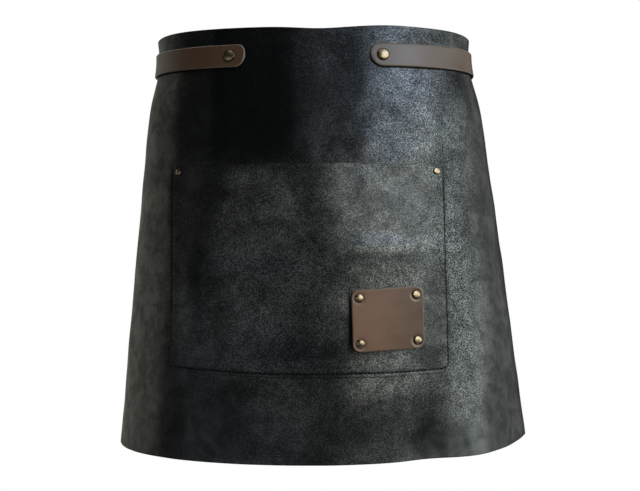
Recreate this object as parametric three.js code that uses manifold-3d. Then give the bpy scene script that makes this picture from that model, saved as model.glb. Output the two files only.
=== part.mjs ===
// Leather waist apron in its worn form: a wrapped front panel, a sewn patch pocket with a riveted
// patch, and two straps that close behind the waist. Millimetres, +Z up, the front faces -Y.
// The origin is the middle of the waist loop, half way up the straps.
import * as THREE from 'three';
import { mergeVertices } from 'three/addons/utils/BufferGeometryUtils.js';
import Module from 'manifold-3d';

const wasm = await Module();
wasm.setup();

// Leather thicknesses and the gap between neighbouring pieces
const PANEL_WALL = 1.8;
const POCKET_WALL = 1.6;
const STRAP_WALL = 3;
const PATCH_WALL = 3;
const GAP = 0.35;

// Panel: a rectangle of leather, wrapped round the front
const PANEL_HALF_WIDTH = 286;
const PANEL_TOP = 29;
const PANEL_HEM = -389;
const PANEL_COLUMNS = 40;
const PANEL_LOWER_ROWS = 18;
const HEM_TILT = 4.8;
const HEM_RISE = 2.5;
const HEM_REACH = 300;

// Straps: 24 mm wide and leaning with the form; their front ends lie on the panel, their back ends overlap
const STRAP_HEIGHT = 23.3;
const STRAP_GAP = 0.5;
const STRAP_RIVET_AT = 75.6;
const STRAP_TIP_PAST_RIVET = { left: 16, right: 12.4 };
const STRAP_END_BULGE = { left: 8.5, right: 11 };
const STRAP_OVERLAP = 34;
const STRAP_STEP_LENGTH = 30;
const STRAP_ROWS = 2;
const STRAP_END_ANGLES = [22, 45, 67, 90].map(THREE.MathUtils.degToRad);
const STRAP_NEAREST_STATIONS = 1;

// Pocket: sewn at its sides and bottom, standing off the panel in between, gaping at the mouth
const POCKET_CENTRE = -2;
const POCKET_HALF_WIDTH = 141.4;
const POCKET_MOUTH = -108.5;
const POCKET_BOTTOM = -309.7;
const POCKET_BOTTOM_RISE = 3.5;
const POCKET_CORNER = 9;
const POCKET_COLUMNS = 24;
const POCKET_ROWS = 14;
const POCKET_CORNER_ROWS = 3;
const POCKET_STAND = 1.2;
const POCKET_GAPE = 12;
const POCKET_SEAM_SLOPE = 40;
const POCKET_RIVET_INSET = 10.7;
const POCKET_RIVET_DROP = 6.2;
const POCKET_RIVET_HOLD = { flat: 8, reach: 70 };

// Patch: a rounded rectangle on the lower right of the pocket, cut a little out of square
const PATCH_CENTRE = { along: 75.2, z: -255.8 };
const PATCH_WIDTH = 68;
const PATCH_HEIGHT = 57.8;
const PATCH_TILT = THREE.MathUtils.degToRad(3);
const PATCH_LEAN = THREE.MathUtils.degToRad(1);
const PATCH_CORNER = 7.5;
const PATCH_COLUMNS = 8;
const PATCH_ROWS = 6;
const PATCH_RIVET_SPAN = { right: 53.8, up: 42.4 };

// Rivets: head and back cap radii, dome height, and the thickness of rim and cap
const RIVETS = {
  strap: { head: 6.2, cap: 5, shank: 1.9, rim: 0.9, dome: 2.6, capWall: 0.9 },
  pocket: { head: 3.6, cap: 3.4, shank: 1.3, rim: 0.6, dome: 1.6, capWall: 0.7 },
  patch: { head: 4.2, cap: 3.4, shank: 1.4, rim: 0.7, dome: 2, capWall: 0.7 },
};
const RIVET_SIDES = 12;
const DOME_STEPS = 3;

// The worn form, level by level: half width, depth from the waist axis and squareness of the oval
const SECTIONS = [
  { z: 35, halfWidth: 164.2, depth: 94.3, square: 2.39 },
  { z: 0, halfWidth: 162.4, depth: 103.1, square: 2.36 },
  { z: -45, halfWidth: 172.7, depth: 114.1, square: 2.33 },
  { z: -110, halfWidth: 180.7, depth: 129, square: 2.27 },
  { z: -220, halfWidth: 193.5, depth: 151.8, square: 2.18 },
  { z: -395, halfWidth: 212.4, depth: 183.1, square: 2.04 },
];
const SIDE_LEAN = -0.0253;

// Folds of the panel and the pocket: middle, spread along and up the leather, how far they stand out
const PANEL_FOLDS = [
  { name: 'centre ridge', along: -7, z: -30, spreadAlong: 30, spreadUp: 110, out: 3 },
  { name: 'hem break', along: 95, z: -330, spreadAlong: 95, spreadUp: 26, out: 1.8 },
  { name: 'hem middle', along: 12, z: -389, spreadAlong: 55, spreadUp: 60, out: 1.5 },
  { name: 'hem dent', along: 116, z: -389, spreadAlong: 27, spreadUp: 55, out: -7.5 },
  { name: 'hem bulge', along: 166, z: -385, spreadAlong: 32, spreadUp: 70, out: 4.5 },
];
const POCKET_FOLDS = [
  { name: 'ridge across', along: 70, z: -190, spreadAlong: 60, spreadUp: 11, out: 1.4 },
  { name: 'hollow below it', along: -60, z: -215, spreadAlong: 70, spreadUp: 18, out: -1.2 },
];

// Waves of the panel's rim and hem: middle and spread along the leather, and how far they rise
const RIM_WAVES = [
  { name: 'sag between the straps', along: 12, spread: 32, up: -2.4 },
  { name: 'lift at the right strap', along: 84, spread: 30, up: 1.2 },
  { name: 'droop at the left side', along: -205, spread: 45, up: -3.5 },
  { name: 'droop at the right side', along: 205, spread: 45, up: -3.5 },
];
const HEM_WAVES = [
  { name: 'raised right corner', along: 270, spread: 45, up: 3 },
];

const ARC_STEPS = 240;
const SLOPE_STEP = 0.5;
const HOLE_SIDES = 10;
const HOLE_REACH = 2;
const RIVET_AXIS = new THREE.Vector3(0, 1, 0);

const LEATHER_BLACK = { color: 0x1a1b1d, roughness: 0.5, metalness: 0 };
const LEATHER_BROWN = { color: 0x4a3126, roughness: 0.5, metalness: 0 };
const BRASS = { color: 0x8a7346, roughness: 0.35, metalness: 1 };

const smooth = (low, high, value) => THREE.MathUtils.smoothstep(value, low, high);
const bell = (offset, spread) => Math.exp(-((offset / spread) ** 2));

// Value of one section column at any height: cubic pieces whose slopes are the mean of their neighbours
function sectionValue(column, z) {
  let i = 0;
  while (i < SECTIONS.length - 2 && z < SECTIONS[i + 1].z) {
    i += 1;
  }
  const rise = (k) => (SECTIONS[k + 1][column] - SECTIONS[k][column]) / (SECTIONS[k + 1].z - SECTIONS[k].z);
  const slope = (k) => {
    const above = rise(Math.max(k - 1, 0));
    const below = rise(Math.min(k, SECTIONS.length - 2));
    return (above + below) / 2;
  };
  const span = SECTIONS[i + 1].z - SECTIONS[i].z;
  const t = (z - SECTIONS[i].z) / span;
  const start = SECTIONS[i][column] * (1 + 2 * t) * (1 - t) ** 2 + slope(i) * span * t * (1 - t) ** 2;
  const end = SECTIONS[i + 1][column] * t * t * (3 - 2 * t) + slope(i + 1) * span * t * t * (t - 1);
  return start + end;
}

// Point of the oval at a bearing from the front
function ovalPoint(z, bearing) {
  const square = sectionValue('square', z);
  const across = (Math.abs(Math.sin(bearing)) / sectionValue('halfWidth', z)) ** square;
  const inward = (Math.abs(Math.cos(bearing)) / sectionValue('depth', z)) ** square;
  const radius = (across + inward) ** (-1 / square);
  return new THREE.Vector2(radius * Math.sin(bearing), -radius * Math.cos(bearing));
}

// Lengths along the oval from the front centre to the back centre, kept for each height
const arcTables = new Map();
function arcTable(z) {
  if (!arcTables.has(z)) {
    const lengths = [0];
    for (let i = 1; i <= ARC_STEPS; i += 1) {
      const here = ovalPoint(z, (Math.PI * i) / ARC_STEPS);
      const before = ovalPoint(z, (Math.PI * (i - 1)) / ARC_STEPS);
      lengths.push(lengths[i - 1] + here.distanceTo(before));
    }
    arcTables.set(z, lengths);
  }
  return arcTables.get(z);
}

const halfGirth = (z) => arcTable(z)[ARC_STEPS];

// Bearing of a point that lies a given length along the leather from the front centre
function bearingAt(along, z) {
  const lengths = arcTable(z);
  const distance = Math.abs(along);
  let i = 1;
  while (i < ARC_STEPS && lengths[i] < distance) {
    i += 1;
  }
  const part = (distance - lengths[i - 1]) / (lengths[i] - lengths[i - 1]);
  return Math.sign(along) * (Math.PI * (i - 1 + part)) / ARC_STEPS;
}

function foldOut(folds, along, z) {
  let out = 0;
  for (const fold of folds) {
    out += fold.out * bell(along - fold.along, fold.spreadAlong) * bell(z - fold.z, fold.spreadUp);
  }
  return out;
}

// Point on the worn form at a bearing, lifted straight out from its side
function formPoint(bearing, z, lift) {
  const here = ovalPoint(z, bearing);
  const step = SLOPE_STEP / here.length();
  const tangent = ovalPoint(z, bearing + step).sub(ovalPoint(z, bearing - step)).normalize();
  const x = here.x + lift * tangent.y + SIDE_LEAN * z;
  const y = here.y - lift * tangent.x;
  return new THREE.Vector3(x, y, z);
}

// Point on the panel's outer face, or lifted off it, by length along the leather
function panelPoint(along, z, lift) {
  return formPoint(bearingAt(along, z), z, lift + foldOut(PANEL_FOLDS, along, z));
}

// Direction that a surface faces, from its own slopes along and up
function facing(surface, along, z) {
  const run = surface(along + SLOPE_STEP, z).sub(surface(along - SLOPE_STEP, z));
  const climb = surface(along, z + SLOPE_STEP).sub(surface(along, z - SLOPE_STEP));
  return run.cross(climb).normalize();
}

// Closed wall between an outer and an inner face, both given as functions of a column and a row number
function wallGeometry(columns, rows, outerPoint, innerPoint) {
  const positions = [];
  for (const point of [outerPoint, innerPoint]) {
    for (let row = 0; row <= rows; row += 1) {
      for (let column = 0; column <= columns; column += 1) {
        positions.push(...point(column, row).toArray());
      }
    }
  }
  const faceSize = (columns + 1) * (rows + 1);
  const outer = (column, row) => row * (columns + 1) + column;
  const inner = (column, row) => faceSize + outer(column, row);
  const index = [];
  const quad = (a, b, c, d) => index.push(a, b, c, a, c, d);
  for (let row = 0; row < rows; row += 1) {
    for (let column = 0; column < columns; column += 1) {
      const next = column + 1;
      const up = row + 1;
      quad(outer(column, row), outer(next, row), outer(next, up), outer(column, up));
      quad(inner(column, row), inner(column, up), inner(next, up), inner(next, row));
    }
    quad(outer(0, row), outer(0, row + 1), inner(0, row + 1), inner(0, row));
    quad(outer(columns, row), inner(columns, row), inner(columns, row + 1), outer(columns, row + 1));
  }
  for (let column = 0; column < columns; column += 1) {
    quad(outer(column, 0), inner(column, 0), inner(column + 1, 0), outer(column + 1, 0));
    quad(outer(column, rows), outer(column + 1, rows), inner(column + 1, rows), inner(column, rows));
  }
  const geometry = new THREE.BufferGeometry();
  geometry.setAttribute('position', new THREE.Float32BufferAttribute(positions, 3));
  geometry.setIndex(index);
  return geometry;
}

function toSolid(geometry) {
  const bare = geometry.clone();
  bare.deleteAttribute('normal');
  bare.deleteAttribute('uv');
  const merged = mergeVertices(bare);
  const vertProperties = new Float32Array(merged.attributes.position.array);
  const triVerts = new Uint32Array(merged.index.array);
  return new wasm.Manifold(new wasm.Mesh({ numProp: 3, vertProperties, triVerts }));
}

function fromSolid(solid) {
  const mesh = solid.getMesh();
  const geometry = new THREE.BufferGeometry();
  geometry.setAttribute('position', new THREE.BufferAttribute(mesh.vertProperties, 3));
  geometry.setIndex(new THREE.BufferAttribute(mesh.triVerts, 1));
  return geometry;
}

// Cuts a round hole through a wall for each rivet's shank
function drill(geometry, rivets) {
  let solid = toSolid(geometry);
  for (const rivet of rivets) {
    const reach = HOLE_REACH * (rivet.above + rivet.below);
    const radius = rivet.size.shank + GAP;
    const hole = new THREE.CylinderGeometry(radius, radius, reach, HOLE_SIDES);
    hole.applyQuaternion(rivet.turn);
    hole.translate(...rivet.place.toArray());
    solid = solid.subtract(toSolid(hole));
  }
  return fromSolid(solid);
}

// A rivet's seat: its place on a surface, the way it points, and how much leather lies above and below
function rivetSeat(size, surface, along, z, above, below) {
  const place = surface(along, z);
  const turn = new THREE.Quaternion().setFromUnitVectors(RIVET_AXIS, facing(surface, along, z));
  return { size, place, turn, above: above + GAP, below: below + GAP };
}

// One rivet, turned round its own axis: back cap, shank, rim and domed head
function rivetGeometry({ size, above, below }) {
  const profile = [
    new THREE.Vector2(0, -below - size.capWall),
    new THREE.Vector2(size.cap, -below - size.capWall),
    new THREE.Vector2(size.cap, -below),
    new THREE.Vector2(size.shank, -below),
    new THREE.Vector2(size.shank, above),
    new THREE.Vector2(size.head, above),
  ];
  for (let i = 0; i < DOME_STEPS; i += 1) {
    const angle = (Math.PI / 2) * (i / DOME_STEPS);
    const height = above + size.rim + (size.dome - size.rim) * Math.sin(angle);
    profile.push(new THREE.Vector2(size.head * Math.cos(angle), height));
  }
  profile.push(new THREE.Vector2(0, above + size.dome));
  return new THREE.LatheGeometry(profile, RIVET_SIDES);
}

const apron = new THREE.Group();

function addPiece(name, geometry, finish) {
  geometry.computeVertexNormals();
  const mesh = new THREE.Mesh(geometry, new THREE.MeshStandardMaterial(finish));
  mesh.name = name;
  apron.add(mesh);
  return mesh;
}

function addRivet(name, seat) {
  const mesh = addPiece(name, rivetGeometry(seat), BRASS);
  mesh.position.copy(seat.place);
  mesh.quaternion.copy(seat.turn);
}

// Rows of the panel: evenly from the hem to the straps, then along the straps' edges and middle to the rim
const panelRowsUp = [0, STRAP_HEIGHT / 2];
const panelRows = PANEL_LOWER_ROWS + panelRowsUp.length + 1;
const panelPitch = (2 * PANEL_HALF_WIDTH) / PANEL_COLUMNS;

function waveRise(waves, along) {
  let rise = 0;
  for (const wave of waves) {
    rise += wave.up * bell(along - wave.along, wave.spread);
  }
  return rise;
}

function panelHeight(along, row) {
  const part = along / HEM_REACH;
  const rim = PANEL_TOP + waveRise(RIM_WAVES, along);
  const hem = PANEL_HEM + HEM_TILT * part + HEM_RISE * part ** 2 + waveRise(HEM_WAVES, along);
  if (row <= PANEL_LOWER_ROWS) {
    return hem + (-STRAP_HEIGHT / 2 - hem) * (row / PANEL_LOWER_ROWS);
  }
  return [...panelRowsUp, rim][row - PANEL_LOWER_ROWS - 1];
}

// How far the pocket's back face stands off the panel: not at the seam, nor where the rivets hold it
const pocketRivetReach = POCKET_HALF_WIDTH - POCKET_RIVET_INSET;
const pocketRivetHeight = POCKET_MOUTH - POCKET_RIVET_DROP;

function pocketStand(along, z) {
  const offCentre = Math.abs(along - POCKET_CENTRE);
  const side = POCKET_HALF_WIDTH - offCentre;
  const fromRivet = Math.hypot(offCentre - pocketRivetReach, z - pocketRivetHeight);
  const free = smooth(POCKET_RIVET_HOLD.flat, POCKET_RIVET_HOLD.reach, fromRivet);
  const seam = smooth(0, POCKET_SEAM_SLOPE, side) * smooth(0, POCKET_SEAM_SLOPE, z - POCKET_BOTTOM);
  const bulge = (1 - Math.min(1, offCentre / POCKET_HALF_WIDTH) ** 2) ** 2;
  const climb = (z - POCKET_BOTTOM) / (POCKET_MOUTH - POCKET_BOTTOM);
  const loose = POCKET_STAND + POCKET_GAPE * bulge * climb + foldOut(POCKET_FOLDS, along, z);
  return GAP + Math.max(0, loose) * seam * free;
}

const pocketFace = (along, z) => panelPoint(along, z, pocketStand(along, z) + POCKET_WALL);
const pocketBack = (along, z) => panelPoint(along, z, pocketStand(along, z));

// Rows of the pocket from its bottom to its mouth, close together round the bottom corners and the rivets
function pocketRowHeight(row) {
  if (row === POCKET_ROWS) {
    return POCKET_MOUTH;
  }
  if (row <= POCKET_CORNER_ROWS) {
    return POCKET_BOTTOM + POCKET_CORNER * (1 - Math.cos((Math.PI / 2) * (row / POCKET_CORNER_ROWS)));
  }
  const start = POCKET_BOTTOM + POCKET_CORNER;
  const end = POCKET_MOUTH - 2 * POCKET_RIVET_DROP;
  const part = (row - POCKET_CORNER_ROWS) / (POCKET_ROWS - 1 - POCKET_CORNER_ROWS);
  return start + (end - start) * part;
}

function pocketSpot(column, row) {
  const level = pocketRowHeight(row);
  const below = Math.max(0, POCKET_CORNER - (level - POCKET_BOTTOM));
  const half = POCKET_HALF_WIDTH - POCKET_CORNER + Math.sqrt(POCKET_CORNER ** 2 - below ** 2);
  const part = (2 * column) / POCKET_COLUMNS - 1;
  const lift = POCKET_BOTTOM_RISE * part ** 2 * ((POCKET_MOUTH - level) / (POCKET_MOUTH - POCKET_BOTTOM));
  return { along: POCKET_CENTRE + half * part, z: level + lift };
}

// Patch: rows and columns of a tilted rectangle whose corners are rounded
function patchSpot(column, row) {
  const halfHeight = PATCH_HEIGHT / 2;
  const level = halfHeight * Math.sin((Math.PI / 2) * ((2 * row) / PATCH_ROWS - 1));
  const past = Math.max(0, Math.abs(level) - (halfHeight - PATCH_CORNER));
  const half = PATCH_WIDTH / 2 - PATCH_CORNER + Math.sqrt(PATCH_CORNER ** 2 - past ** 2);
  return patchPlace(half * ((2 * column) / PATCH_COLUMNS - 1), level);
}

// Rows of the patch rise by its tilt, and its columns lean less than that
function patchPlace(right, up) {
  const along = PATCH_CENTRE.along + right * Math.cos(PATCH_TILT) - up * Math.sin(PATCH_LEAN);
  const z = PATCH_CENTRE.z + right * Math.sin(PATCH_TILT) + up * Math.cos(PATCH_LEAN);
  return { along, z };
}

function patchPoint(along, z, lift) {
  return panelPoint(along, z, pocketStand(along, z) + POCKET_WALL + GAP + lift);
}

const patchFace = (along, z) => patchPoint(along, z, PATCH_WALL);
const patchBack = (along, z) => patchPoint(along, z, 0);

// Straps: stations from the round front end to the back end past the middle of the back
const loopHalf = halfGirth(0);

function strapStations(side) {
  const tip = STRAP_RIVET_AT - STRAP_TIP_PAST_RIVET[side];
  const end = loopHalf + STRAP_OVERLAP;
  const round = STRAP_HEIGHT / 2;
  const bulge = STRAP_END_BULGE[side];
  const stations = [];
  for (const angle of STRAP_END_ANGLES) {
    stations.push({ along: tip + bulge * (1 - Math.cos(angle)), half: round * Math.sin(angle) });
  }
  const first = Math.ceil((tip + bulge + STRAP_NEAREST_STATIONS) / panelPitch);
  const last = end - bulge - STRAP_NEAREST_STATIONS;
  for (let along = first * panelPitch; along < last; along += panelPitch) {
    stations.push({ along, half: round });
  }
  for (const angle of STRAP_END_ANGLES.toReversed()) {
    stations.push({ along: end - bulge * (1 - Math.cos(angle)), half: round * Math.sin(angle) });
  }
  return stations;
}

// The left strap steps outwards behind the waist, so that it lies on the right one
function strapLift(side, along) {
  const stepStart = loopHalf - STRAP_OVERLAP - STRAP_STEP_LENGTH;
  const step = side === 'left' ? smooth(stepStart, stepStart + STRAP_STEP_LENGTH, along) : 0;
  return STRAP_GAP + step * (STRAP_WALL + GAP);
}

// Point on a strap by length from the front centre to its own side, carried on past the back centre
function strapPoint(side, along, z, lift) {
  const sign = side === 'left' ? -1 : 1;
  const past = Math.max(0, along - loopHalf);
  const bearing = past > 0 ? 2 * Math.PI - bearingAt(loopHalf - past, 0) : bearingAt(along, 0);
  const folds = along < PANEL_HALF_WIDTH ? foldOut(PANEL_FOLDS, sign * along, z) : 0;
  return formPoint(sign * bearing, z, lift + folds + strapLift(side, along));
}

function strapGeometry(side) {
  const stations = strapStations(side);
  const last = stations.length - 1;
  const point = (lift) => (column, row) => {
    const station = side === 'left' ? stations[last - column] : stations[column];
    const level = station.half * ((2 * row) / STRAP_ROWS - 1);
    return strapPoint(side, station.along, level, lift);
  };
  return wallGeometry(last, STRAP_ROWS, point(STRAP_WALL), point(0));
}

// Panel, straps and the rivets that join them
const panelSurface = (along, z) => panelPoint(along, z, 0);
const strapRivets = {
  left: rivetSeat(RIVETS.strap, panelSurface, -STRAP_RIVET_AT, 0, STRAP_GAP + STRAP_WALL, PANEL_WALL),
  right: rivetSeat(RIVETS.strap, panelSurface, STRAP_RIVET_AT, 0, STRAP_GAP + STRAP_WALL, PANEL_WALL),
};
const pocketRivet = (along) => {
  const below = POCKET_WALL + pocketStand(along, pocketRivetHeight) + PANEL_WALL;
  return rivetSeat(RIVETS.pocket, pocketFace, along, pocketRivetHeight, 0, below);
};
const pocketRivets = {
  left: pocketRivet(POCKET_CENTRE - pocketRivetReach),
  right: pocketRivet(POCKET_CENTRE + pocketRivetReach),
};
const panelGrid = (lift) => (column, row) => {
  const along = panelPitch * column - PANEL_HALF_WIDTH;
  return panelPoint(along, panelHeight(along, row), lift);
};
const panelWall = wallGeometry(PANEL_COLUMNS, panelRows, panelGrid(0), panelGrid(-PANEL_WALL));
const panelHoles = [...Object.values(strapRivets), ...Object.values(pocketRivets)];
addPiece('apron_panel', drill(panelWall, panelHoles), LEATHER_BLACK);

const backSeat = (along, z) => strapPoint('right', along, z, STRAP_WALL);
const backStud = rivetSeat(RIVETS.strap, backSeat, loopHalf, 0, GAP + STRAP_WALL, STRAP_WALL);
for (const side of ['left', 'right']) {
  addPiece(`strap_${side}`, drill(strapGeometry(side), [strapRivets[side], backStud]), LEATHER_BROWN);
  addRivet(`strap_rivet_${side}`, strapRivets[side]);
}
addRivet('back_stud', backStud);

// Pocket and its corner rivets
const patchGrip = PATCH_WALL + GAP + POCKET_WALL;
const patchRivets = {};
for (const [row, up] of Object.entries({ top: 1, bottom: -1 })) {
  for (const [column, right] of Object.entries({ left: -1, right: 1 })) {
    const reach = (right * PATCH_RIVET_SPAN.right) / 2;
    const { along, z } = patchPlace(reach, (up * PATCH_RIVET_SPAN.up) / 2);
    patchRivets[`${row}_${column}`] = rivetSeat(RIVETS.patch, patchFace, along, z, 0, patchGrip);
  }
}
const pocketGrid = (surface) => (column, row) => {
  const { along, z } = pocketSpot(column, row);
  return surface(along, z);
};
const pocketFaces = [pocketGrid(pocketFace), pocketGrid(pocketBack)];
const pocketWall = wallGeometry(POCKET_COLUMNS, POCKET_ROWS, ...pocketFaces);
const pocketHoles = [...Object.values(pocketRivets), ...Object.values(patchRivets)];
addPiece('pocket', drill(pocketWall, pocketHoles), LEATHER_BLACK);
for (const side of ['left', 'right']) {
  addRivet(`pocket_rivet_${side}`, pocketRivets[side]);
}

// Patch and its four rivets
const patchGrid = (surface) => (column, row) => {
  const { along, z } = patchSpot(column, row);
  return surface(along, z);
};
const patchWall = wallGeometry(PATCH_COLUMNS, PATCH_ROWS, patchGrid(patchFace), patchGrid(patchBack));
addPiece('patch', drill(patchWall, Object.values(patchRivets)), LEATHER_BROWN);
for (const [corner, seat] of Object.entries(patchRivets)) {
  addRivet(`patch_rivet_${corner}`, seat);
}

export default apron;
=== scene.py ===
# %% [markdown]
# # A leather waist apron
# The apron is a wide panel of black waxed leather that hangs round the front of the waist. A patch pocket
# is sewn on it, a small brown patch is riveted to the pocket, and two brown straps close it behind.
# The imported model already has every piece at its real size, so it is loaded first and never moved. Each
# piece is then made again with a finer shape and a real finish, in the same place.

# %% Load the frame
import math
from collections import namedtuple

import bmesh
import bpy
import numpy as np
from mathutils import Matrix, Vector, noise


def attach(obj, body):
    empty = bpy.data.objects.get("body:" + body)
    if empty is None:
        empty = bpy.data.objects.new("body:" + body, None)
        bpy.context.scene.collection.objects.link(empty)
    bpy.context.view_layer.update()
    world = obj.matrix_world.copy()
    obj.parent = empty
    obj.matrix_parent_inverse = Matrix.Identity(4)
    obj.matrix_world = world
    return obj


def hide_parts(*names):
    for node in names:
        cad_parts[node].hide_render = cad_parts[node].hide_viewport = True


MM_PER_METRE = 1000


def mm(metres):
    """A length in millimetres, for printing."""
    return round(MM_PER_METRE * float(metres), 1)


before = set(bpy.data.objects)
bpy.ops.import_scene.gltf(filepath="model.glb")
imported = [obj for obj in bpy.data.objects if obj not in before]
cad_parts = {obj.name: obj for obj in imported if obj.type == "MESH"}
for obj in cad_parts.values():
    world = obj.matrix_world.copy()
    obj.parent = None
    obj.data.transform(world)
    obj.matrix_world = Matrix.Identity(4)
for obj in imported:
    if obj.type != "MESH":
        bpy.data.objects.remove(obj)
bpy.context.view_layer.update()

# %% [markdown]
# ## The camera
# The photograph was taken from a level camera a little to the right of the middle and about half way down
# the apron. A long lens keeps the perspective gentle. The small shift only puts the waist's axis at the same
# column of the picture as in the photograph.

# %% Camera at the photograph's angle
PHOTO_WIDTH = 640
FOCAL_PIXELS = 1326.45
AXIS_PIXEL = 313.75
SENSOR_WIDTH = 36
CAMERA_DISTANCE = 1.4
CAMERA_TURN = math.radians(4.52)
CAMERA_HEIGHT = -0.18693


def stand_off(name, data, aim, outward, distance):
    """Puts a camera or a light at a distance from its aim, looking back at it."""
    made = bpy.data.objects.new(name, data)
    made.location = aim + distance * outward
    made.rotation_euler = (-outward).to_track_quat("-Z", "Y").to_euler()
    bpy.context.scene.collection.objects.link(made)
    return made


camera_data = bpy.data.cameras.new("camera")
camera_data.sensor_width = SENSOR_WIDTH
camera_data.lens = SENSOR_WIDTH * FOCAL_PIXELS / PHOTO_WIDTH
camera_data.shift_x = (PHOTO_WIDTH / 2 - AXIS_PIXEL) / PHOTO_WIDTH
camera_aim = Vector((0, 0, CAMERA_HEIGHT))
towards_camera = Vector((math.sin(CAMERA_TURN), -math.cos(CAMERA_TURN), 0))
camera = stand_off("camera", camera_data, camera_aim, towards_camera, CAMERA_DISTANCE)
bpy.context.scene.camera = camera
print(f"lens {camera_data.lens:.1f} mm")

# %% [markdown]
# ## The worn form
# A flat cut of leather keeps the form that it was wrapped to. That form is an oval at each height: wide at
# the sides, shallower from front to back, and growing towards the hem. It could be sculpted by hand, but a
# short table of ovals with smooth pieces between them is exact, and every layer of leather can be laid on
# it by its own height above the form.

# %% Ovals of the worn form, from the rim to the hem
SECTIONS = [
    {"z": 0.035, "half_width": 0.1642, "depth": 0.0943, "square": 2.39},
    {"z": 0.0, "half_width": 0.1624, "depth": 0.1031, "square": 2.36},
    {"z": -0.045, "half_width": 0.1727, "depth": 0.1141, "square": 2.33},
    {"z": -0.110, "half_width": 0.1807, "depth": 0.1290, "square": 2.27},
    {"z": -0.220, "half_width": 0.1935, "depth": 0.1518, "square": 2.18},
    {"z": -0.395, "half_width": 0.2124, "depth": 0.1831, "square": 2.04},
]


def section_value(column, z):
    """One column of the table at any height: cubic pieces with the mean of the neighbouring slopes."""
    levels = np.array([row["z"] for row in SECTIONS])
    values = np.array([row[column] for row in SECTIONS])
    rises = np.diff(values) / np.diff(levels)
    slopes = np.concatenate([rises[:1], (rises[:-1] + rises[1:]) / 2, rises[-1:]])
    i = np.clip(np.searchsorted(-levels, -z, side="right") - 1, 0, len(levels) - 2)
    span = levels[i + 1] - levels[i]
    t = (z - levels[i]) / span
    start = values[i] * (1 + 2 * t) * (1 - t) ** 2 + slopes[i] * span * t * (1 - t) ** 2
    end = values[i + 1] * t * t * (3 - 2 * t) + slopes[i + 1] * span * t * t * (t - 1)
    return start + end


def oval_point(z, bearing):
    """A point of the oval at a bearing from the front, as its x and y."""
    square = section_value("square", z)
    across = (np.abs(np.sin(bearing)) / section_value("half_width", z)) ** square
    inward = (np.abs(np.cos(bearing)) / section_value("depth", z)) ** square
    radius = (across + inward) ** (-1 / square)
    return radius * np.sin(bearing), -radius * np.cos(bearing)


print("ovals at", [row["z"] for row in SECTIONS])

# %% [markdown]
# Leather doesn't stretch much, so a point of the flat cut keeps its distance along the oval from the middle
# of the front. A table of lengths, one row for each level, turns that distance into a bearing.

# %% Lengths along the ovals
FORM_BOTTOM = -0.40
FORM_TOP = 0.04
LEVEL_COUNT = 89
BEARING_COUNT = 361
SHORT_OF_LAST = 0.001
LEVELS = np.linspace(FORM_BOTTOM, FORM_TOP, LEVEL_COUNT)
BEARINGS = np.linspace(0, math.pi, BEARING_COUNT)

level_grid, bearing_grid = np.meshgrid(LEVELS, BEARINGS, indexing="ij")
oval_x, oval_y = oval_point(level_grid, bearing_grid)
arc_steps = np.hypot(np.diff(oval_x), np.diff(oval_y))
ARC_LENGTHS = np.pad(np.cumsum(arc_steps, axis=1), ((0, 0), (1, 0)))


def bearing_at(along, z):
    """The bearing of points that lie a length along the leather from the middle of the front."""
    place = np.interp(z, LEVELS, np.arange(LEVEL_COUNT))
    place = np.minimum(place, LEVEL_COUNT - 1 - SHORT_OF_LAST)
    row = place.astype(int)
    bearing = np.zeros_like(along)
    for level in np.unique(row):
        here = row == level
        lower = np.interp(np.abs(along[here]), ARC_LENGTHS[level], BEARINGS)
        upper = np.interp(np.abs(along[here]), ARC_LENGTHS[level + 1], BEARINGS)
        bearing[here] = lower + (upper - lower) * (place[here] - level)
    return np.sign(along) * bearing


waist_row = int(np.argmin(np.abs(LEVELS)))
LOOP_HALF = ARC_LENGTHS[waist_row, -1]
print("waist girth in mm:", mm(2 * LOOP_HALF))

# %% Points laid on the form
SLOPE_STEP = 0.0005
SIDE_LEAN = -0.0253


def form_point(bearing, z, lift):
    """Points of the form, lifted straight out from its side."""
    x, y = oval_point(z, bearing)
    step = SLOPE_STEP / np.hypot(x, y)
    ahead_x, ahead_y = oval_point(z, bearing + step)
    behind_x, behind_y = oval_point(z, bearing - step)
    run_x = ahead_x - behind_x
    run_y = ahead_y - behind_y
    run = np.hypot(run_x, run_y)
    return np.stack([x + lift * run_y / run + SIDE_LEAN * z, y - lift * run_x / run, z], axis=-1)


front_centre = form_point(np.zeros(1), np.zeros(1), 0)[0]
print("front of the waist in mm:", [mm(part) for part in front_centre])

# %% [markdown]
# ## Folds of the leather
# The panel isn't a perfect bell. It has a soft ridge down the middle where it was folded, and dents and
# bulges along the hem. Each is a smooth bump, and a row of a table makes it: its name, its middle along the
# leather and in height, its spread in both directions, and how far it stands out. Between the folds the hide
# is a little uneven, which a slow noise gives.

# %% Smooth bumps
SOFT = 2
Bump = namedtuple("Bump", "name along z wide tall amount steep", defaults=[SOFT])


def smooth(low, high, value):
    """Nothing below low, one above high, and a soft climb between them."""
    part = np.clip((value - low) / (high - low), 0, 1)
    return part * part * (3 - 2 * part)


def bell(offset, spread, steep=SOFT):
    """A smooth bump. A steeper one has a flat top and falls off at once."""
    return np.exp(-(np.abs(offset / spread) ** steep))


def heap(bumps, along, z):
    """The sum of a table of bumps at points of the leather."""
    total = np.zeros_like(along)
    for bump in bumps:
        across = bell(along - bump.along, bump.wide, bump.steep)
        total += bump.amount * across * bell(z - bump.z, bump.tall, bump.steep)
    return total


print("columns of a bump:", Bump._fields)

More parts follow.
